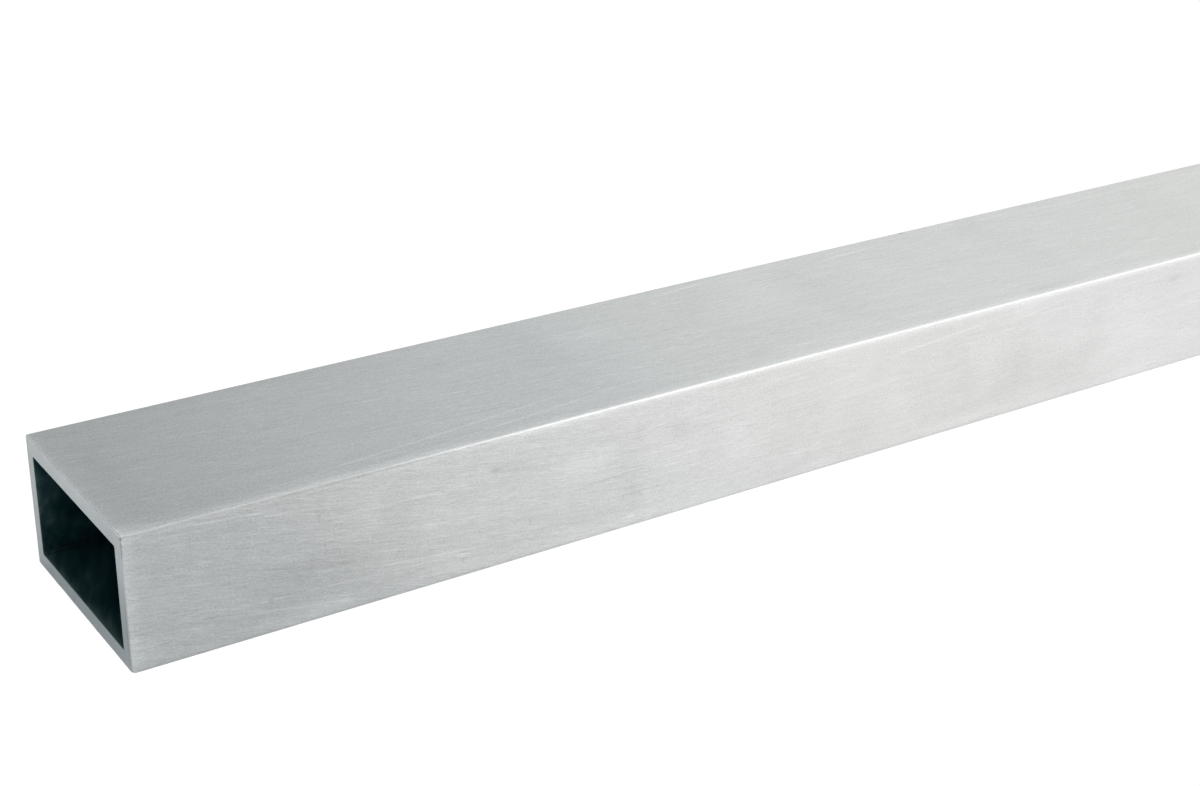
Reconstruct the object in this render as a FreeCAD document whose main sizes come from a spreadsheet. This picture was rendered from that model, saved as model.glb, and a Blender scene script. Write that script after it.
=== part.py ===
import FreeCAD, Part

import os
from enum import IntEnum

import Sketcher

# A length of rectangular aluminium tube: one extrusion with crisp corners, sawn square at both
# ends and lightly deburred. X runs along the tube, Y across its wide faces and Z up. The tube
# lies on a wide face, with the origin in the middle of that face. Lengths are in millimetres.

SIZES = {
    "TubeLength": 609.6,  # two feet, a length that this stock is sold in
    "TubeWidth": 44.45,  # one and three quarter inches across the wide faces
    "TubeHeight": 25.4,  # one inch
    "WallThickness": 3.175,  # one eighth of an inch, the same on all four sides
    "OutsideCornerRadius": 0.4,  # the long outside edges, as the die leaves them
    "BoreCornerRadius": 0.3,  # the four long corners inside the bore
    "OutsideDeburr": 0.3,  # the edge broken round the outside of each sawn end
    "BoreDeburr": 0.15,  # the edge broken round the bore at each sawn end
}

SHEET = "Sizes"
TUBE = "rectangular_tube"
PARTS_FOLDER = "parts"


class LineEnd(IntEnum):
    """How a sketch numbers the two ends of a line."""

    START = 1
    FINISH = 2


class SketchAxis(IntEnum):
    """How a sketch numbers its own two axes."""

    ACROSS = -1
    UP = -2


def make_sheet(doc):
    """Gives each driving size a cell of its own, under its own name."""
    sheet = doc.addObject("Spreadsheet::Sheet", SHEET)
    for row, (name, size) in enumerate(SIZES.items(), start=1):
        sheet.set(f"A{row}", name)
        sheet.set(f"B{row}", str(size))
        sheet.setAlias(f"B{row}", name)
    doc.recompute()


def add_rectangle(sketch, half_width, low, high):
    """Draws a rectangle that stays centred across the tube.

    Returns its lower, right, upper and left sides, which run anticlockwise.
    """
    corners = [(-half_width, low), (half_width, low), (half_width, high), (-half_width, high)]
    points = [FreeCAD.Vector(across, up, 0) for across, up in corners]
    lines = [Part.LineSegment(a, b) for a, b in zip(points, points[1:] + points[:1])]
    sides = list(sketch.addGeometry(lines, False))
    lower, right, upper, left = sides

    start, finish = LineEnd
    for side, following in zip(sides, sides[1:] + sides[:1]):
        sketch.addConstraint(Sketcher.Constraint("Coincident", side, finish, following, start))
    for side in (right, left):
        sketch.addConstraint(Sketcher.Constraint("Vertical", side))
    sketch.addConstraint(Sketcher.Constraint("Horizontal", upper))
    # Its ends mirror each other, which also makes the lower side level.
    mirrored = Sketcher.Constraint("Symmetric", lower, start, lower, finish, SketchAxis.UP)
    sketch.addConstraint(mirrored)
    return lower, right, upper, left


def bind_distance(sketch, name, direction, near, far, size):
    """Holds the distance between two corners to a size in the sheet.

    near and far are each a line and which end of it. direction is DistanceX or DistanceY.
    """
    number = sketch.addConstraint(Sketcher.Constraint(direction, *near, *far, SIZES[size]))
    sketch.renameConstraint(number, name)
    sketch.setExpression(f"Constraints.{name}", f"{SHEET}.{size}")


def draw_section(body):
    """The opening of the die: the outside of the tube, and the bore one wall inside it."""
    sketch = body.newObject("Sketcher::SketchObject", "Section")
    planes = {plane.Role: plane for plane in body.Origin.OriginFeatures}
    sketch.AttachmentSupport = [(planes["YZ_Plane"], "")]
    sketch.MapMode = "FlatFace"

    width, height, wall = SIZES["TubeWidth"], SIZES["TubeHeight"], SIZES["WallThickness"]
    lower, _, upper, _ = add_rectangle(sketch, width / 2, 0, height)
    bore_lower, _, bore_upper, _ = add_rectangle(sketch, width / 2 - wall, wall, height - wall)

    start, finish = LineEnd
    on_the_floor = Sketcher.Constraint("PointOnObject", lower, start, SketchAxis.ACROSS)
    sketch.addConstraint(on_the_floor)
    bind_distance(sketch, "Width", "DistanceX", (lower, start), (lower, finish), "TubeWidth")
    bind_distance(sketch, "Height", "DistanceY", (lower, finish), (upper, start), "TubeHeight")

    # The sides of both rectangles start and end at like corners, so each wall is held at one.
    walls = {
        "SideWall": ("DistanceX", (bore_lower, finish), (lower, finish)),
        "LowerWall": ("DistanceY", (lower, finish), (bore_lower, finish)),
        "UpperWall": ("DistanceY", (bore_upper, start), (upper, start)),
    }
    for name, (direction, near, far) in walls.items():
        bind_distance(sketch, name, direction, near, far, "WallThickness")
    return sketch


def extrude(body, section):
    """Draws the section out to the tube's length, half of it each way."""
    extrusion = body.newObject("PartDesign::Pad", "Extrusion")
    extrusion.Profile = section
    extrusion.SideType = "Symmetric"
    extrusion.setExpression("Length", f"{SHEET}.TubeLength")
    return extrusion


def is_long(edge):
    """Whether an edge runs along the tube, and so isn't part of a sawn end's outline."""
    return edge.BoundBox.XLength > SIZES["TubeLength"] / 2


def is_outside(edge):
    """Whether an edge lies in the outer half of the walls, and so isn't one of the bore's."""
    width, height, wall = SIZES["TubeWidth"], SIZES["TubeHeight"], SIZES["WallThickness"]
    middle = edge.CenterOfMass
    beside = abs(middle.y) > (width - wall) / 2
    above_or_below = abs(middle.z - height / 2) > (height - wall) / 2
    return beside or above_or_below


def edge_names(feature, long, outside):
    """Names of one group of edges: long ones or those of the sawn ends, outside or bore."""
    feature.Document.recompute()
    numbered = enumerate(feature.Shape.Edges, start=1)
    wanted = (long, outside)
    return [f"Edge{number}" for number, edge in numbered if (is_long(edge), is_outside(edge)) == wanted]


def round_corners(body, base, name, outside, radius):
    """Rounds the four long corners of the outside, or those of the bore."""
    corners = body.newObject("PartDesign::Fillet", name)
    corners.Base = (base, edge_names(base, long=True, outside=outside))
    corners.setExpression("Radius", f"{SHEET}.{radius}")
    return corners


def deburr_ends(body, base, name, outside, size):
    """Breaks the sharp edge that the saw leaves at both ends, round the outside or the bore."""
    edges = body.newObject("PartDesign::Chamfer", name)
    edges.Base = (base, edge_names(base, long=False, outside=outside))
    edges.setExpression("Size", f"{SHEET}.{size}")
    return edges


def make_tube(doc):
    """The whole tube: extruded with its rounded corners, sawn to length, then deburred."""
    tube = doc.addObject("PartDesign::Body", TUBE)
    tube.Label = TUBE
    tube.Placement = FreeCAD.Placement()
    shape = extrude(tube, draw_section(tube))
    shape = round_corners(tube, shape, "OutsideCorners", True, "OutsideCornerRadius")
    shape = round_corners(tube, shape, "BoreCorners", False, "BoreCornerRadius")
    shape = deburr_ends(tube, shape, "OutsideEdges", True, "OutsideDeburr")
    deburr_ends(tube, shape, "BoreEdges", False, "BoreDeburr")
    doc.recompute()
    return tube


def check(doc, sub_parts):
    """Stops with a plain message if a feature failed or a sub-part isn't one sound solid."""
    for item in doc.Objects:
        if "Invalid" in item.State or "Error" in item.State:
            raise RuntimeError(f"{item.Label} couldn't be made: {item.State}")
    for part in sub_parts:
        if part.Shape.isNull() or not part.Shape.isValid() or len(part.Shape.Solids) != 1:
            raise RuntimeError(f"{part.Label} isn't one sound solid")


def write_parts(sub_parts):
    """Writes each sub-part to a STEP file named by its label."""
    os.makedirs(PARTS_FOLDER, exist_ok=True)
    for part in sub_parts:
        part.Shape.exportStep(os.path.join(PARTS_FOLDER, f"{part.Label}.step"))
        box = part.Shape.BoundBox
        print(f"{part.Label}: {box.XLength:.2f} x {box.YLength:.2f} x {box.ZLength:.2f} mm")


def build():
    doc = FreeCAD.newDocument("RectangularTube")
    make_sheet(doc)
    sub_parts = [make_tube(doc)]
    check(doc, sub_parts)
    write_parts(sub_parts)


build()
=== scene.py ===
import math

import bmesh
import bpy
from mathutils import Matrix, Vector, noise


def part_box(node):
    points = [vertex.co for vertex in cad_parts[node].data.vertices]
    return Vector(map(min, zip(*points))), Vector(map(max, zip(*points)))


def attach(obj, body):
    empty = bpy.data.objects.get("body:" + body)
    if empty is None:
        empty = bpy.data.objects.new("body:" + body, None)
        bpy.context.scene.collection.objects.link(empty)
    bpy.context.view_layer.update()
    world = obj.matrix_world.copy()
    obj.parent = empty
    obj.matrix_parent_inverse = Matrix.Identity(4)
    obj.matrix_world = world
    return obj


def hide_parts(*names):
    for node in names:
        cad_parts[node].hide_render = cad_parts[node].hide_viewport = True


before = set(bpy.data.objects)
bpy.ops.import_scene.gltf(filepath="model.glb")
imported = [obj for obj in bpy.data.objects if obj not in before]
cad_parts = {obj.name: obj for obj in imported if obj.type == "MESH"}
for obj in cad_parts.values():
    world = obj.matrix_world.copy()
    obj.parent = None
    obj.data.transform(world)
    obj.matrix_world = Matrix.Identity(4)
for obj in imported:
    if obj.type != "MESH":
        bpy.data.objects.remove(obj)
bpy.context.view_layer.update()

# The tube's shape
# One length of rectangular aluminium tube, pushed out through a die, then sawn square at both
# ends and deburred by hand, which leaves its end edges very slightly uneven.

MM = 0.001
TUBE = "rectangular_tube"
low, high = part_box(TUBE)
length, width, height = high - low
wall = 3.175 * MM
outside_radius = 0.4 * MM
bore_radius = 0.3 * MM
CORNER_STEPS = 6
BESIDE_CORNER = [0.1 * MM, 0.35 * MM, 0.9 * MM, 1.8 * MM, 3.2 * MM]
WIDE_PARTS, NARROW_PARTS = 12, 8


def flat_places(long, parts):
    """How far along a flat side of the section its points lie, closer together by the corners."""
    inner = BESIDE_CORNER[-1]
    step = (long - 2 * inner) / parts
    middle = [inner + step * k for k in range(1, parts)]
    return BESIDE_CORNER + middle + [long - place for place in reversed(BESIDE_CORNER)]


def section(half_width, bottom, top, radii):
    """Points round a rounded rectangle, each with its outward direction, in the YZ plane.

    radii are those of the lower front, lower back, upper back and upper front corners.
    """
    front_low, back_low, back_high, front_high = radii
    corners = [
        (-half_width + front_low, bottom + front_low, 180, front_low),
        (half_width - back_low, bottom + back_low, 270, back_low),
        (half_width - back_high, top - back_high, 0, back_high),
        (-half_width + front_high, top - front_high, 90, front_high),
    ]
    arcs = []
    for y, z, first, bend in corners:
        arc = []
        for step in range(CORNER_STEPS + 1):
            angle = math.radians(first + 90 * step / CORNER_STEPS)
            out = Vector((0, math.cos(angle), math.sin(angle)))
            arc.append((Vector((0, y, z)) + out * bend, out))
        arcs.append(arc)
    points = []
    for number, (arc, following) in enumerate(zip(arcs, arcs[1:] + arcs[:1])):
        points += arc
        end, out = arc[-1]
        span = following[0][0] - end
        parts = WIDE_PARTS if number % 2 == 0 else NARROW_PARTS
        for place in flat_places(span.length, parts):
            points.append((end + span.normalized() * place, out))
    return points


BY_THE_END = [0.5, 0.8, 1.2, 1.8, 2.6, 3.6, 5, 7, 9.5, 12.5]
STATION_STEP = 6 * MM


def stations():
    """Distances along the tube from one end to its middle, closer together by the end."""
    places = [place * MM for place in BY_THE_END]
    last = places[-1]
    count = round((length / 2 - last) / STATION_STEP)
    step = (length / 2 - last) / count
    return places + [last + step * k for k in range(1, count + 1)]


CRISP_CORNER, RIDGE_WORN = 0.25 * MM, 0.75 * MM
WORN_REACH, WORN_FADE = 22 * MM, 50 * MM


def eased(share):
    """A share from 0 to 1 that starts and stops gently."""
    share = min(max(share, 0.0), 1.0)
    return share * share * (3 - 2 * share)


def worn(distance):
    """The four long corners' radii at a distance from an end: its handling has worn the ridge."""
    share = 1 - eased((distance - WORN_REACH) / WORN_FADE)
    ridge = outside_radius + (RIDGE_WORN - outside_radius) * share
    return [CRISP_CORNER, outside_radius, CRISP_CORNER, ridge]


# Each knock: the corner it hit, and how far from it the small flat cuts each of its three edges.
KNOCKED_CORNERS = [
    (Vector((-length / 2, -width / 2, low.z)), Vector((0.6, 0.9, 0.8)) * MM),
    (Vector((-length / 2, width / 2, high.z)), Vector((0.35, -0.5, -0.5)) * MM),
]


def knocked(place):
    """A place moved in behind the small flat that a knock has left on a corner of the end."""
    for corner, cuts in KNOCKED_CORNERS:
        slope = Vector([1 / cut for cut in cuts])
        short = 1 - (place - corner).dot(slope)
        if short > 0:
            place = place + slope * (short / slope.length_squared)
    return place


OUTSIDE_DEBURR, BORE_DEBURR = 0.3 * MM, 0.15 * MM
EDGE_STEPS = 5
# A file leaves the broken edge uneven, by a share of its size. The two ends' noise lies far apart.
UNEVEN_SHARE, UNEVEN_PITCH = 0.35, 2.2 * MM / 0.6
ENDS_APART = 40


def shell(half_width, bottom, top, radii, edge, sink):
    """Rings of places for one skin of the tube, from its near end to its far end.

    radii gives the long corners' radii at a distance from the end. edge is the radius of the
    broken edge, and sink says which way it cuts: 1 into the outside, -1 into the bore.
    """
    rings = []
    for end in (-1, 1):
        side = []
        for step in range(EDGE_STEPS + 1):
            turn = math.radians(90 * step / EDGE_STEPS)
            ring = []
            for place, out in section(half_width, bottom, top, radii(0.0)):
                seed = Vector((end * ENDS_APART, place.y, place.z)) / UNEVEN_PITCH
                radius = edge * (1 + UNEVEN_SHARE * noise.noise(seed))
                inward = -sink * radius * (1 - math.sin(turn))
                along = radius * (1 - math.cos(turn))
                ring.append(place + out * inward + Vector((end * (length / 2 - along), 0, 0)))
            side.append(ring)
        for distance in stations():
            here = Vector((end * (length / 2 - distance), 0, 0))
            outline = section(half_width, bottom, top, radii(distance))
            side.append([place + here for place, _ in outline])
        if end < 0:
            rings += side
        else:
            rings += list(reversed(side[:-1]))
    return rings


outside = (width / 2, low.z, high.z)
bore = (width / 2 - wall, low.z + wall, high.z - wall)
outside_rings = shell(*outside, worn, OUTSIDE_DEBURR, 1)
outside_rings = [[knocked(place) for place in ring] for ring in outside_rings]
bore_rings = shell(*bore, lambda distance: [bore_radius] * 4, BORE_DEBURR, -1)
outside_points = section(*outside, worn(length / 2))
bore_points = section(*bore, [bore_radius] * 4)
around = len(outside_points)

mesh = bpy.data.meshes.new("tube_mesh")
build = bmesh.new()
map_layer = build.loops.layers.uv.new("OFBake")
outside_verts = [[build.verts.new(place) for place in ring] for ring in outside_rings]
bore_verts = [[build.verts.new(place) for place in ring] for ring in bore_rings]

# The strips of the bake map, from the bottom of the map to its top, with a gap between them.
SKIN_BAND = (0.006, 0.70)
BORE_BAND = (0.712, 0.905)
NEAR_SAW_BAND = (0.912, 0.950)
FAR_SAW_BAND = (0.957, 0.995)
EDGE_OF_MAP = 0.004
# The tube's three finishes, in the order in which they are added to it.
OUTSIDE_SKIN, BORE_SKIN, SAWN_END = 0, 1, 2


def girths(points):
    """How far round the section each point lies, as a share of the whole way round."""
    places = [place for place, _ in points]
    steps = [(b - a).length for a, b in zip(places, places[1:] + places[:1])]
    total = sum(steps)
    shares = [0.0]
    for step in steps:
        shares.append(shares[-1] + step / total)
    return shares


def band(share, limits):
    """A share of the way across a strip, as a place on the map."""
    return limits[0] + (limits[1] - limits[0]) * min(max(share, 0.0), 1.0)


def along_map(x):
    """Where a distance along the tube from its middle lies on the map."""
    return band(x / length + 0.5, (EDGE_OF_MAP, 1 - EDGE_OF_MAP))


def skin_faces(verts, shares, limits, material):
    """Four-sided faces between neighbouring rings, laid on the map as one long strip."""
    for ring, after in zip(verts, verts[1:]):
        for k in range(around):
            n = (k + 1) % around
            face = build.faces.new((ring[k], after[k], after[n], ring[n]))
            face.material_index = material
            face.smooth = True
            across = [shares[k], shares[k], shares[k + 1], shares[k + 1]]
            for loop, share in zip(face.loops, across):
                loop[map_layer].uv = (along_map(loop.vert.co.x), band(share, limits))


skin_faces(outside_verts, girths(outside_points), SKIN_BAND, OUTSIDE_SKIN)
skin_faces(bore_verts, girths(bore_points), BORE_BAND, BORE_SKIN)

SAW_PARTS = 4


def sawn_face(outer, inner, shares, limits):
    """The sawn end between the outside's ring and the bore's, in a few narrow loops."""
    loops = [outer]
    for part in range(1, SAW_PARTS):
        share = part / SAW_PARTS
        loops.append([build.verts.new(a.co.lerp(b.co, share)) for a, b in zip(outer, inner)])
    loops.append(inner)
    for part, (ring, after) in enumerate(zip(loops, loops[1:])):
        for k in range(around):
            n = (k + 1) % around
            face = build.faces.new((ring[k], after[k], after[n], ring[n]))
            face.smooth = True
            face.material_index = SAWN_END
            near, far = shares[k], shares[k + 1]
            places = [(near, part), (near, part + 1), (far, part + 1), (far, part)]
            for loop, (share, row) in zip(face.loops, places):
                u = band(share, (EDGE_OF_MAP, 1 - EDGE_OF_MAP))
                loop[map_layer].uv = (u, band(row / SAW_PARTS, limits))


sawn_face(outside_verts[0], bore_verts[0], girths(outside_points), NEAR_SAW_BAND)
sawn_face(outside_verts[-1], bore_verts[-1], girths(outside_points), FAR_SAW_BAND)
bmesh.ops.recalc_face_normals(build, faces=build.faces)
build.to_mesh(mesh)
build.free()
tube = bpy.data.objects.new("extruded_tube", mesh)
bpy.context.scene.collection.objects.link(tube)

# The brushed outside
# Bare aluminium, rubbed along by hand with a fine pad: long shallow arcs of fine lines on the
# sides, straighter ones on the wide faces, cloudy where the pad pressed more or less.


class Wire:
    """One socket of a shader. Python's own sums on it add Math nodes."""

    def __init__(self, tree, socket=None):
        self.tree = tree
        self.socket = socket

    def node(self, kind, settings, values, output=0):
        """Adds any node: first its settings, then a value or a link for each of its sockets."""
        made = self.tree.nodes.new(kind)
        for name, setting in settings.items():
            if name == "stops":
                stops = made.color_ramp.elements
                while len(stops) < len(setting):
                    stops.new(1.0)
                for stop, (place, colour) in zip(stops, setting):
                    stop.position, stop.color = place, (*colour, 1.0)
            else:
                setattr(made, name, setting)
        for name, value in values.items():
            if isinstance(value, Wire):
                self.tree.links.new(value.socket, made.inputs[name])
            else:
                made.inputs[name].default_value = value
        return Wire(self.tree, made.outputs[output])

    def math(self, operation, *values, clamp=False):
        settings = {"operation": operation, "use_clamp": clamp}
        return self.node("ShaderNodeMath", settings, dict(enumerate(values)))

    def __add__(self, other):
        return self.math("ADD", self, other)

    __radd__ = __add__

    def __mul__(self, other):
        return self.math("MULTIPLY", self, other)

    __rmul__ = __mul__

    def __sub__(self, other):
        return self.math("SUBTRACT", self, other)

    def __rsub__(self, other):
        return self.math("SUBTRACT", other, self)

    def __truediv__(self, other):
        return self.math("DIVIDE", self, other)

    def clamped(self):
        return self.math("ADD", self, 0.0, clamp=True)

    def other(self, name):
        """Another output of the same node."""
        return Wire(self.tree, self.socket.node.outputs[name])

    def finish(self, kind="ShaderNodeOutputMaterial"):
        """Ends the tree here: this wire becomes the surface of the whole material or world."""
        end = self.tree.nodes.new(kind)
        self.tree.links.new(self.socket, end.inputs["Surface"])


def scaled(colour, level):
    """A colour, or a place, times one value."""
    wire = colour if isinstance(colour, Wire) else level
    return wire.node("ShaderNodeVectorMath", {"operation": "SCALE"}, {0: colour, "Scale": level})


def mixed(share, colour, second):
    """One colour where the share is 0, passing into the second one where it is 1."""
    return share.node("ShaderNodeMix", {"data_type": "RGBA"}, {0: share, 6: colour, 7: second}, 2)


def new_material(name):
    """A material with an empty tree, and a wire to build that tree with."""
    material = bpy.data.materials.new(name)
    material.use_nodes = True
    material.node_tree.nodes.clear()
    return material, Wire(material.node_tree)


def tube_place(wire):
    """Where a point of the tube lies along it, across it and above the floor, in millimetres."""
    place = scaled(wire.node("ShaderNodeTexCoord", {}, {}, "Object"), 1 / MM)
    x = place.node("ShaderNodeSeparateXYZ", {}, {0: place}, "X")
    return x, x.other("Y"), x.other("Z")


GRAIN_ROUGHNESS, GRAIN_GAIN = 0.62, 3.2


def grain(x, across, stretch, fine, detail, pattern):
    """Noise drawn out along the tube, from about -1 to 1: one coarseness of brushing.

    stretch and fine are the size of its marks along and across, and pattern picks one of many.
    """
    spot = x.node("ShaderNodeCombineXYZ", {}, {0: x / stretch, 1: across / fine, 2: pattern})
    values = {"Vector": spot, "Scale": 1.0, "Detail": detail, "Roughness": GRAIN_ROUGHNESS}
    return (x.node("ShaderNodeTexNoise", {}, values, "Fac") - 0.5) * GRAIN_GAIN


def patch(x, across, middle, half, strength):
    """A soft oval cloud on a face, as strong as the strength at its middle."""
    far_x = (x - middle[0]) / half[0]
    far_across = (across - middle[1]) / half[1]
    core = (1.0 - far_x * far_x - far_across * far_across).clamped()
    return core * core * strength


STROKE_GAIN = 1.8


def stroke(x, across, start, end, thick, strength):
    """One straight scratch that fades out towards both of its ends."""
    middle, half = (start[0] + end[0]) / 2, (end[0] - start[0]) / 2
    slope = (end[1] - start[1]) / (end[0] - start[0])
    far_x = (x - middle) / half
    off = (across - (x - middle) * slope - (start[1] + end[1]) / 2) / thick
    return (1.0 - far_x * far_x).clamped() * (1.0 - off * off).clamped() * (strength * STROKE_GAIN)


def added(parts):
    """The sum of a list of wires."""
    total = parts[0]
    for part in parts[1:]:
        total = total + part
    return total


brushed, wire = new_material("brushed_aluminium")
LONG, HALF_WIDE, TALL = length / MM, width / 2 / MM, height / MM
x, y, z = tube_place(wire)
x = x + LONG / 2
ROUND_THE_CORNER, CORNER_FADE = HALF_WIDE - 0.45, 0.3
beside = ((y.math("ABSOLUTE", y) - ROUND_THE_CORNER) / CORNER_FADE).clamped()

# The lines wander a little. On the sides they curve up towards the near end, and on the wide
# faces they turn towards the back by it.
wander = grain(x, y + z, 45.0, 30.0, 1.0, 3.0) * 0.35
ARC_MIDDLE, ARC_PERIOD, ARC_DEPTH = 112.0, 300.0, 9.2
arc_x = x.math("MINIMUM", x - ARC_MIDDLE, 0.0)
sweep = x.math("COSINE", arc_x * (2 * math.pi / ARC_PERIOD))
side_line = z + sweep * ARC_DEPTH + wander
TOP_SLOPE, TURNED, TURNS_OVER = 0.03, 14.0, 110.0
top_line = y + x * TOP_SLOPE - x.math("EXPONENT", x / -TURNS_OVER) * TURNED + wander


def brushing(line, coarse, pattern):
    """All the layers of one face's brushing, added up: thin dashes that cross at small angles."""
    dashes = grain(x, line + x * 0.05, 5.0, 0.33 * coarse, 1.0, pattern + 7.0)
    more_dashes = grain(x, line - x * 0.035, 8.0, 0.40 * coarse, 1.0, pattern + 29.0)
    return (
        grain(x, line, 2.1, 0.25 * coarse, 1.0, pattern) * 2.1
        + dashes.math("MAXIMUM", dashes - 0.30, 0.0) * 5.0
        - more_dashes.math("MAXIMUM", more_dashes - 0.35, 0.0) * 4.0
        + grain(x, line, 8.0, 0.60 * coarse, 2.0, pattern + 13.0) * 1.5
        + grain(x, line, 24.0, 1.5 * coarse, 2.0, pattern + 19.0) * 1.1
        + grain(x, line, 40.0, 4.0, 2.0, pattern + 37.0) * 0.7
    )


clouds = grain(x, y + z, 9.0, 6.0, 3.0, 11.0)
zones = grain(x, y, 11.0, 90.0, 2.0, 23.0)
pressure = 1.0 + clouds * 0.35 + zones * 0.25
fading = 1.0 - ((x - 90.0) / 70.0).clamped() * 0.42
light_touch = (x / 80.0).clamped() * 0.3 + 0.7
top_brushing = brushing(top_line, 1.5, 0.0) * pressure * light_touch
side_brushing = brushing(side_line, 1.0, 50.0) * pressure * fading
pits = grain(x, y + z * 1.7, 0.45, 0.45, 2.0, 31.0)

# Marks in millimetres, along from the near end first, then across from the middle of a wide face
# or up a side. A stroke has its start, its end, its thickness and how much lighter it is. A patch
# has its middle, how far it reaches each way and how much lighter it is, or darker below 0.
TOP_STROKES = [
    ((19, -20.2), (103, -11.0), 0.35, 0.080),
    ((46, -20.8), (120, -12.8), 0.30, 0.055),
    ((60, -19.3), (101, -15.3), 0.25, 0.035),
    ((22, -20.8), (52, -17.8), 0.30, 0.035),
    ((170, 16.9), (192, 18.5), 0.35, 0.095),
    ((166, -4.6), (192, -2.8), 0.30, 0.030),
    ((129, 18.4), (147, 20.4), 0.60, 0.060),
    ((54, 3.2), (69, 4.2), 0.40, 0.025),
    ((100, 7.7), (121, 10.2), 0.50, 0.030),
    ((144, -17.3), (202, -15.3), 0.30, 0.030),
    ((222, 17.6), (300, 17.9), 0.45, 0.035),
]
TOP_PATCHES = [
    ((95, 9), (8, 22), -0.028),
    ((163, 2), (8, 26), -0.026),
    ((215, 6), (7, 26), -0.026),
    ((262, 8), (8, 24), -0.020),
    ((190, -21), (75, 4.2), -0.012),
    ((30, 21.5), (60, 4.0), -0.035),
    ((190, 21.5), (60, 3.0), -0.008),
    ((292, 21.8), (14, 2.6), -0.060),
    ((205, -19.8), (10, 2.6), -0.058),
    ((245, -20.2), (9, 2.2), -0.048),
    ((215, -15.0), (45, 2.4), 0.024),
    ((159, 20.4), (12, 2.2), 0.050),
    ((210, 20.4), (7, 2), 0.050),
    ((227.5, 18.8), (6, 2), 0.036),
    ((238, 20.5), (8, 1.8), -0.030),
    ((148, -17), (14, 4), 0.028),
    ((162, -8), (5, 6), -0.024),
    ((162, 14.5), (5, 4), -0.018),
    ((214, 17), (5, 4), -0.022),
    ((221.5, 2), (4, 3), -0.026),
    ((7, 2), (3.5, 24), -0.030),
    ((28, -3), (9, 9), -0.018),
    ((108, 15), (6, 4), -0.030),
    ((92, -17.5), (12, 3), 0.028),
    ((105, -3.7), (6, 4), -0.028),
    ((116, 8.7), (6, 2.5), -0.026),
    ((136, -18.3), (14, 2.5), 0.026),
    ((52, -20.3), (8, 2), -0.026),
    ((115, -11.5), (8, 2), -0.022),
    ((89, -4), (6, 4), -0.018),
    ((108, 9), (14, 5), 0.035),
    ((140, 4), (14, 9), 0.020),
    ((150, 12), (12, 22), 0.045),
    ((0, -20.4), (6.5, 3.0), 0.140),
]
SIDE_STROKES = [
    ((7, 24.5), (27, 22.8), 0.32, 0.095),
    ((12, 23.6), (36, 21.0), 0.30, 0.060),
    ((3, 23.5), (18, 22.5), 0.28, 0.050),
    ((0, 7.4), (66, 4.4), 0.22, 0.045),
    ((43, 6.9), (69, 4.6), 0.28, 0.060),
    ((20, 4.9), (41, 1.9), 0.30, 0.050),
    ((32, 18.5), (67, 17.8), 0.25, 0.050),
    ((12, 15.5), (38, 12.6), 0.22, 0.035),
    ((50, 12.6), (84, 9.6), 0.25, 0.040),
    ((156, 20.2), (193, 23.1), 0.30, 0.050),
    ((192, 20.9), (211, 23.5), 0.30, 0.035),
    ((85, 10.9), (106, 11.5), 0.35, -0.040),
    ((23, 11.2), (44, 8.8), 0.50, -0.020),
    ((108, 17.2), (150, 18.6), 0.22, 0.030),
]
SIDE_PATCHES = [
    ((33, 10), (11, 5), -0.038),
    ((43.5, 18), (3.5, 8), 0.040),
    ((40, 9.5), (6, 4.5), -0.028),
    ((39.5, 15.5), (3, 4), 0.025),
    ((52, 11), (5, 3), -0.030),
    ((76.5, 10), (4, 3), -0.030),
    ((92, 16.5), (4, 3), 0.025),
    ((16, 8.5), (10, 4.5), 0.035),
    ((21, 5), (6, 4), 0.030),
    ((16.5, 18.5), (5, 3), 0.030),
    ((18, 1.6), (10, 2.4), 0.045),
    ((49, 15), (3.5, 9), -0.030),
    ((58, 14), (8, 8), 0.022),
    ((72.5, 18), (8, 4), -0.055),
    ((87.5, 14.8), (8, 5), 0.070),
    ((97, 5.5), (5, 4.5), -0.035),
    ((98, 12), (4.5, 12), -0.045),
    ((109, 18.6), (3.8, 5), -0.060),
    ((123, 11), (8, 8), 0.040),
    ((152, 9), (6, 9), -0.035),
    ((161, 10), (6, 14), 0.035),
    ((186, 11), (6, 8), 0.040),
    ((196, 12), (4, 16), -0.025),
    ((211, 6), (10, 7), -0.040),
    ((217, 10.5), (6, 4), -0.045),
    ((177, 16.5), (6, 5), -0.040),
    ((196, 23), (5, 3), 0.045),
    ((192.8, 17.4), (1.5, 4), -0.035),
    ((228, 12), (9, 12), 0.030),
    ((192, 9), (26, 9), -0.050),
    ((18, 23.6), (20, 3.6), -0.035),
    ((2, 3.5), (5, 4.5), 0.060),
    ((60, 2), (14, 2.4), 0.060),
    ((33, 1.6), (15, 2.8), 0.150),
    ((95, 1.5), (50, 2.4), 0.075),
    ((180, 1.5), (60, 2.4), 0.045),
    ((150, 14), (11, 13), 0.045),
    ((231, 1.6), (13, 2.6), 0.070),
    ((144, 1.6), (10, 2.6), 0.045),
    ((60, 4.5), (7, 3), 0.040),
    ((150, 23.4), (24, 2.6), 0.040),
    ((200, 23.8), (8, 2.2), 0.032),
    ((165.5, 6.5), (3, 4), 0.035),
    ((186.5, 7.7), (3, 4), 0.028),
    ((217.5, 17.9), (5, 5), -0.026),
    ((182, 12.5), (3.5, 3), -0.025),
]
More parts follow.
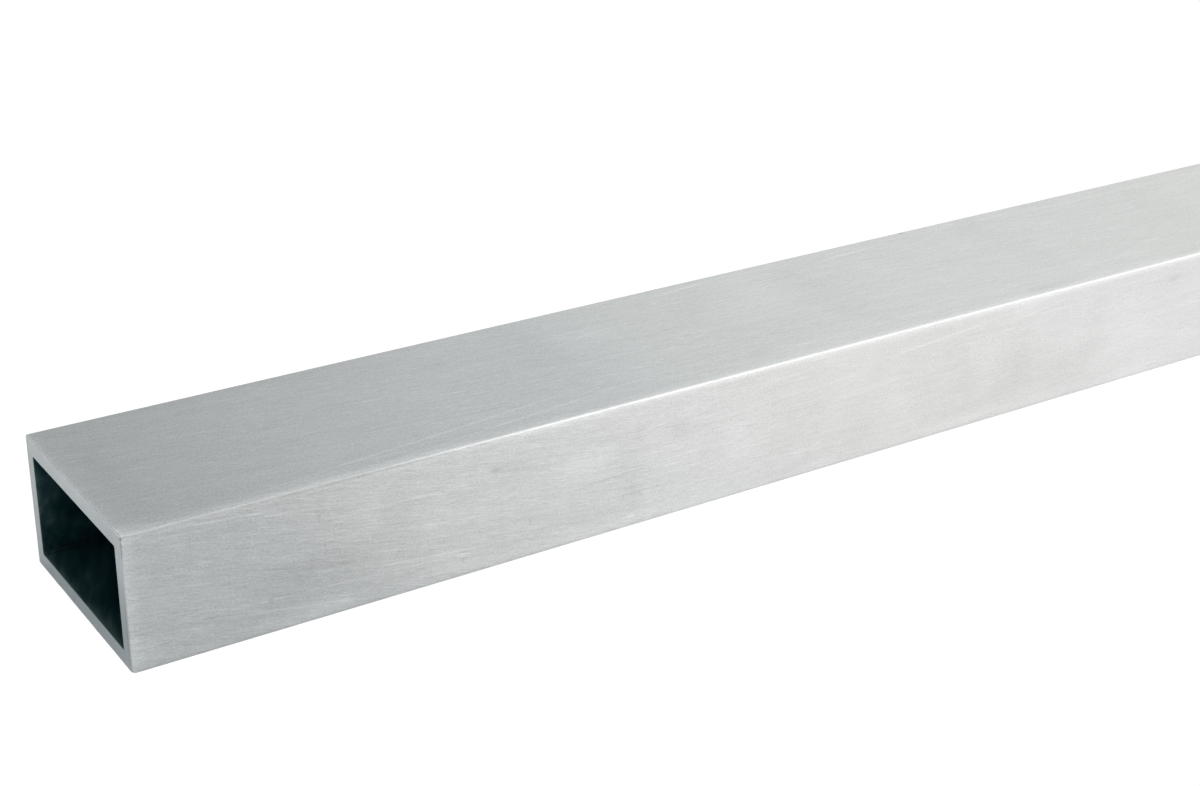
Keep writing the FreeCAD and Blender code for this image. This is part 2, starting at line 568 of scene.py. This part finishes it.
SIDE_SPECKS = [
    ((69, 19.2), (1.8, 0.6), -0.16),
    ((240, 21), (4.5, 1.1), -0.10),
    ((6, 4), (2.2, 0.35), -0.12),
    ((76, 7), (0.5, 1.0), -0.14),
    ((25, 6.2), (0.7, 1.2), -0.13),
    ((34.5, 19.3), (0.4, 1.0), -0.10),
    ((62, 3.2), (0.35, 0.8), -0.12),
    ((101, 1.9), (1.2, 0.3), -0.12),
]
ragged_x = x + grain(x, y + z, 9.0, 7.0, 2.0, 41.0) * 2.5
top_marks = added(
    [stroke(x, y, *mark) for mark in TOP_STROKES]
    + [patch(ragged_x, y, *mark) for mark in TOP_PATCHES]
)
side_marks = added(
    [stroke(x, z, *mark) for mark in SIDE_STROKES]
    + [patch(ragged_x, z, *mark) for mark in SIDE_PATCHES]
    + [patch(x, z, *mark) for mark in SIDE_SPECKS]
)


def drawn(x, stops):
    """A value drawn as a smooth line over the distance from the near end, in millimetres."""
    settings = {"stops": [(place / LONG, (value,) * 3) for place, value in stops]}
    return x.node("ShaderNodeValToRGB", settings, {0: x / LONG})


# Painted light and shade along the tube: both faces are drawn darker towards the near end and
# lighter farther along. The two tones are 0.5 where they leave the metal as it is.
top_painted_lighting = drawn(ragged_x, [
    (0, 0.435), (2, 0.42), (6, 0.415), (12, 0.425), (30, 0.45), (60, 0.475), (96, 0.48),
    (112, 0.53), (160, 0.535), (200, 0.515), (260, 0.475), (340, 0.50),
])
side_painted_lighting = drawn(x, [(0, 0.41), (35, 0.41), (55, 0.46), (80, 0.475), (120, 0.505), (150, 0.48)])
top_shade = (
    1.0 + (top_painted_lighting - 0.5) + top_marks + top_brushing * 0.047 + clouds * 0.014 + zones * 0.010
)
side_shade = (
    1.0 + (side_painted_lighting - 0.5) + side_marks + side_brushing * 0.048 + clouds * 0.015 + zones * 0.010
)
shade = top_shade + (side_shade - top_shade) * beside + pits * 0.16
lines = top_brushing + (side_brushing - top_brushing) * beside

# Painted highlight and shade on the long front ridge: dimmer by the near end, where the ridge is
# worn, and a bright line beyond, where it is crisp. Millimetres across it and half the factor there.
RIDGE_REACH = 3.2
RIDGE_LIGHT_BY_THE_END = [
    (-1.2, 0.515), (-0.9, 0.555), (-0.6, 0.475), (-0.3, 0.345), (0.0, 0.415), (0.3, 0.54),
    (0.7, 0.60), (1.2, 0.57), (2.0, 0.52), (3.2, 0.50),
]
RIDGE_HIGHLIGHT_BEYOND = [
    (-1.5, 0.50), (-1.0, 0.53), (-0.6, 0.57), (-0.3, 0.62), (0.0, 0.68), (0.3, 0.66), (0.6, 0.58),
    (0.9, 0.55), (1.6, 0.53), (2.4, 0.51), (3.2, 0.50),
]


def over_the_ridge(stops):
    """A painted light and shade factor drawn across the front ridge: down the side is negative, over
    the top positive.
    """
    across = (y + z) + (HALF_WIDE - TALL)
    settings = {"stops": [(off / RIDGE_REACH / 2 + 0.5, (value,) * 3) for off, value in stops]}
    return across.node("ShaderNodeValToRGB", settings, {0: across / (2 * RIDGE_REACH) + 0.5}) * 2.0


crisp = ((x - 42.0 + wander * 14.0) / 36.0).clamped()
by_the_end, beyond = over_the_ridge(RIDGE_LIGHT_BY_THE_END), over_the_ridge(RIDGE_HIGHLIGHT_BEYOND)
on_the_front = (y * -4.0).clamped()
ridge_painted_light = 1.0 + (by_the_end + (beyond - by_the_end) * crisp - 1.0) * on_the_front

# Painted light and shade at the broken edge of a sawn end: a light line on the wide face, a dark
# one down the side with a lighter band beside it, and painted shade along the bottom of the side.
from_end = x.math("MINIMUM", x, LONG - x)
off_edge = (from_end - 0.14 + beside * 0.08) / (0.25 - beside * 0.13)
near_edge = (1.0 - off_edge * off_edge).clamped()
lower = 1.0 - z / TALL
top_edge_painted_highlight = near_edge * (clouds * 0.3 + 0.66) + x.math("EXPONENT", from_end * -1.2) * 0.12
top_edge_painted_highlight = top_edge_painted_highlight * (from_end / 0.035 + 0.3).clamped()
side_edge_painted_light = (1.0 - from_end / 2.7).clamped() * 0.15 - near_edge * (0.36 - lower * 0.20)
bottom_edge_painted_shade = (1.0 - z / 0.7).clamped() * beside * 0.12
edge_painted_light = 1.0 + top_edge_painted_highlight + (side_edge_painted_light - top_edge_painted_highlight) * beside - bottom_edge_painted_shade
# Painted glints on the small flats where the near end was knocked, and one dark speck farther
# along the top, laid out as the patches are.
KNOCK_GLINTS_AND_SPECK = [
    ((0.25, -20.1), (0.55, 0.40), 0.80),
    ((0.15, -14.0), (0.40, 0.35), 0.30),
    ((0.15, -8.3), (0.30, 0.25), 0.25),
    ((0.20, 2.5), (0.35, 0.30), 0.20),
    ((0.15, 21.4), (0.40, 0.45), 0.45),
    ((199.7, 21.8), (1.1, 0.7), -0.40),
]
knock_glints_and_marks = added([patch(x, y, *mark) for mark in KNOCK_GLINTS_AND_SPECK]) * (1.0 - beside)
corner_lines = stroke(x, z, (-0.6, 24.80), (1.6, 25.25), 0.22, -0.07)
corner_lines = corner_lines + patch(x, z, (0.08, 23.2), (0.26, 3.4), -0.26)
shade = shade * ridge_painted_light * edge_painted_light + knock_glints_and_marks + corner_lines * beside

# The metal's colour with the cast of the light painted in: a little bluer by the near end of the
# wide faces, and warmer on the sides.
COOL_METAL, PALE_METAL = (0.603, 0.637, 0.643, 1.0), (0.604, 0.637, 0.635, 1.0)
SIDE_LIGHT_CAST_METAL = (0.614, 0.636, 0.641, 1.0)
farther = ((x - 85.0) / 35.0).clamped()
metal = mixed(beside, mixed(farther, COOL_METAL, PALE_METAL), SIDE_LIGHT_CAST_METAL)
relief = lines * 0.6 + pits * 0.25
bump = wire.node("ShaderNodeBump", {}, {"Strength": 0.25, "Distance": 0.01 * MM, "Height": relief})
wire.node("ShaderNodeBsdfPrincipled", {}, {
    "Base Color": scaled(metal, shade),
    "Metallic": 1.0,
    "Roughness": 0.42 + lines * 0.02 + clouds * 0.01,
    "Normal": bump,
}).finish()

# The bore's skin
# The same aluminium inside the tube, as the die left it and never brushed, with the shade inside it
# painted into its colour: near black with a teal cast, faintly blotched, and painted light just
# inside its mouth, most of all along the bottom.

dark, wire = new_material("bore_skin_painted_shade")
x, y, z = tube_place(wire)
from_mouth = x + LONG / 2
from_mouth = x.math("MINIMUM", from_mouth, LONG - from_mouth)
HALF_BORE = HALF_WIDE - wall / MM
run = from_mouth - (y - HALF_BORE) * 0.42
blotches = grain(run, z + y * 0.5, 5.0, 16.0, 3.0, 5.0)
blotches = blotches + grain(run, z - y * 0.3, 4.0, 5.0, 3.0, 15.0) * 0.7
above_bottom, off_the_back = (z - wall / MM) * 0.9, (HALF_BORE - y) * 0.9
# Painted light just inside the mouth, and along the bottom near it.
mouth_painted_light = x.math("EXPONENT", from_mouth * -0.9 - off_the_back.clamped() * 0.4)
bottom_painted_light = (1.0 - above_bottom).clamped() * x.math("EXPONENT", from_mouth * -0.58)
deeper = from_mouth.math("MINIMUM", from_mouth, 60.0)
level = blotches * 0.50 + mouth_painted_light * 0.25 + bottom_painted_light * 0.42 + deeper * 0.006 + 0.47
PAINTED_BORE_SHADE = [
    (0.0, (0.0005, 0.006, 0.010)), (0.25, (0.002, 0.016, 0.022)), (0.5, (0.006, 0.034, 0.042)),
    (0.75, (0.026, 0.064, 0.070)), (1.0, (0.085, 0.138, 0.138)),
]
skin = wire.node("ShaderNodeValToRGB", {"stops": PAINTED_BORE_SHADE}, {0: level.clamped()})
# Painted shade in the corner between the bottom and the back.
off_corner = x.math("ABSOLUTE", above_bottom) + x.math("ABSOLUTE", off_the_back)
corner = (1.0 - off_corner * 0.8).clamped()
wire.node("ShaderNodeBsdfPrincipled", {}, {
    "Base Color": scaled(skin, 1.0 - corner * 0.5),
    "Metallic": 0.5,
    "Specular IOR Level": 0.2,
    "Roughness": 0.55 + blotches * 0.05,
}).finish()

# The sawn ends
# The cut through the wall at both ends, made with a fine saw and rubbed with a file: duller than
# the outside, with fine lines up and down it. Light and shade are painted on it: lighter along the
# top wall, at its back corner and high on the front wall, darker lower down the front wall and in a
# thin line by its outer edge.

sawn, wire = new_material("sawn_aluminium")
_, y, z = tube_place(wire)
saw_lines = grain(z + y * 0.25, y - z * 0.25, 4.0, 0.25, 2.0, 2.0)
saw_clouds = grain(y, z, 5.0, 5.0, 2.0, 8.0)
SAWN_METAL = (0.615, 0.644, 0.649)
# Patches of painted light and shade, laid out as above: across the end first and then up it.
SAWN_LIGHT_AND_SHADE = [
    ((0, 24.2), (27, 3.4), 0.110),
    ((-20.6, 9), (3.4, 9), -0.090),
    ((-20.6, 20), (3.4, 6), 0.080),
    ((20.5, 24), (4, 3), 0.080),
    ((-21.6, 6), (0.8, 16), -0.160),
]
marks = added([patch(y, z, *mark) for mark in SAWN_LIGHT_AND_SHADE])
knock_glints_and_marks = stroke(y, z, (-22.3, 24.4), (-21.0, 25.2), 0.3, -0.15)
shade = 1.0 + saw_lines * 0.04 + saw_clouds * 0.05 + marks + knock_glints_and_marks
wire.node("ShaderNodeBsdfPrincipled", {}, {
    "Base Color": scaled(SAWN_METAL, shade),
    "Metallic": 1.0,
    "Roughness": 0.48 + saw_lines * 0.02,
}).finish()

for material in (brushed, dark, sawn):
    mesh.materials.append(material)
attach(tube, "root")
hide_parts(TUBE)

# The floor
# A plain white sheet of paper that the tube lies on. The camera sees it as even white with no
# shadow, and the tube is lit by its glow, which changes along it.

FLOOR_RADIUS, FLOOR_GAP = 12.0, 0.05 * MM
floor_mesh = bpy.data.meshes.new("floor_mesh")
build = bmesh.new()
bmesh.ops.create_circle(build, cap_ends=True, segments=96, radius=FLOOR_RADIUS)
build.to_mesh(floor_mesh)
build.free()
floor = bpy.data.objects.new("floor", floor_mesh)
bpy.context.scene.collection.objects.link(floor)
floor.location.z = low.z - FLOOR_GAP
white, wire = new_material("white_floor")
PAPER_WHITE = {"Color": (1.0, 1.0, 1.0, 1.0), "Strength": 1.05}
# The glow in front of the tube and behind it: metres from its middle and the colour there.
GLOW_SPAN = 1.2
FRONT_GLOW = [
    (-0.60, (0.29, 0.27, 0.28)), (-0.36, (0.42, 0.38, 0.41)), (-0.315, (0.11, 0.115, 0.12)),
    (-0.275, (0.05, 0.045, 0.04)), (-0.235, (0.295, 0.275, 0.255)), (-0.195, (0.455, 0.425, 0.405)),
    (-0.14, (0.56, 0.505, 0.47)), (-0.05, (0.665, 0.61, 0.59)), (0.15, (0.45, 0.43, 0.42)),
]
BACK_GLOW = [
    (-0.60, (0.36, 0.34, 0.33)), (-0.34, (0.0, 0.0, 0.0)), (-0.22, (0.05, 0.05, 0.05)),
    (0.0, (0.40, 0.40, 0.40)),
]


def glow_along(x, stops):
    """The floor's own glow, drawn over its place along the tube."""
    settings = {"stops": [(place / GLOW_SPAN + 0.5, colour) for place, colour in stops]}
    return x.node("ShaderNodeValToRGB", settings, {0: x / GLOW_SPAN + 0.5})


place = wire.node("ShaderNodeTexCoord", {}, {}, "Object")
x = place.node("ShaderNodeSeparateXYZ", {}, {0: place}, "X")
GLOW_CHANGES_OVER = 0.06
behind = (x.other("Y") / GLOW_CHANGES_OVER + 0.5).clamped()
glow = mixed(behind, glow_along(x, FRONT_GLOW), glow_along(x, BACK_GLOW))
lit = x.node("ShaderNodeEmission", {}, {"Color": glow, "Strength": 1.0})
plain = x.node("ShaderNodeBsdfDiffuse", {}, {"Color": (0.8, 0.8, 0.8, 1.0)})
lit = x.node("ShaderNodeAddShader", {}, {0: lit, 1: plain})
paper = x.node("ShaderNodeEmission", {}, PAPER_WHITE)
seen = x.node("ShaderNodeLightPath", {}, {}, "Is Camera Ray")
x.node("ShaderNodeMixShader", {}, {0: seen, 1: lit, 2: paper}).finish()
floor_mesh.materials.append(white)

# The light
# A soft studio: wide bright cloths to the right and in front, dimmer ones to the left, and hardly
# any light from overhead. The camera itself sees plain white round the tube.

# Each cloth: how high it hangs and which way it lies, in degrees, and its colour. 0 is behind the
# tube and 90 past its far end.
CLOTHS = [
    (8, 0, (0.10, 0.10, 0.10)), (8, 45, (0.93, 0.89, 0.87)), (8, 90, (0.64, 0.57, 0.53)),
    (8, 135, (0.52, 0.51, 0.50)), (8, 180, (0.39, 0.41, 0.415)), (8, 225, (0.26, 0.295, 0.31)),
    (8, 270, (0.27, 0.31, 0.32)), (8, 315, (0.12, 0.13, 0.135)),
    (42, 0, (0.11, 0.11, 0.11)), (42, 45, (0.12, 0.16, 0.18)), (42, 90, (0.75, 0.67, 0.64)),
    (42, 135, (0.80, 0.76, 0.74)), (42, 180, (0.60, 0.61, 0.615)), (42, 225, (0.30, 0.33, 0.35)),
    (42, 270, (0.18, 0.23, 0.25)), (42, 315, (0.11, 0.11, 0.11)), (90, 0, (0.12, 0.14, 0.16)),
]
SOFTNESS = 6.0
world = bpy.data.worlds.new("soft_studio")
bpy.context.scene.world = world
world.use_nodes = True
world.node_tree.nodes.clear()
wire = Wire(world.node_tree)
way = wire.node("ShaderNodeTexCoord", {}, {}, "Generated")


def cloth(way, rise, turn, colour):
    """One soft patch of light: brightest in one direction, and fading evenly round it."""
    rise, turn = math.radians(rise), math.radians(turn)
    aim = Vector((math.sin(turn) * math.cos(rise), math.cos(turn) * math.cos(rise), math.sin(rise)))
    along = way.node("ShaderNodeVectorMath", {"operation": "DOT_PRODUCT"}, {0: way, 1: aim}, "Value")
    level = way.math("EXPONENT", (along - 1.0) * SOFTNESS)
    return scaled(colour, level)


cloths = [cloth(way, *each) for each in CLOTHS]
total = cloths[0]
for another in cloths[1:]:
    total = way.node("ShaderNodeVectorMath", {"operation": "ADD"}, {0: total, 1: another})
studio = way.node("ShaderNodeBackground", {}, {"Color": total, "Strength": 1.0})
paper = way.node("ShaderNodeBackground", {}, PAPER_WHITE)
seen = way.node("ShaderNodeLightPath", {}, {}, "Is Camera Ray")
way.node("ShaderNodeMixShader", {}, {0: seen, 1: studio, 2: paper}).finish("ShaderNodeOutputWorld")

# The camera
# It looks down on the near end from the left, as the photographer did. The lens, the place and
# the three directions are fitted to the corners and edges of the tube in the photo.

lens = bpy.data.cameras.new("camera")
SENSOR_WIDTH, FOCAL_LENGTH = 36.0, 61.9003
EYE = (-0.400907, -0.303325, 0.180916)
lens.sensor_width = SENSOR_WIDTH
lens.sensor_fit = "HORIZONTAL"
lens.lens = FOCAL_LENGTH
lens.clip_start, lens.clip_end = 0.01, 50.0
camera = bpy.data.objects.new("camera", lens)
bpy.context.scene.collection.objects.link(camera)
right = Vector((0.83608734, -0.54844175, 0.01302334))
up = Vector((0.21529735, 0.34986593, 0.91172412))
back = Vector((-0.504584, -0.75947711, 0.41059653))
turn = Matrix((right, up, back)).transposed().to_4x4()
camera.matrix_world = Matrix.Translation(EYE) @ turn
bpy.context.scene.camera = camera
bpy.context.scene.view_settings.view_transform = "Standard"
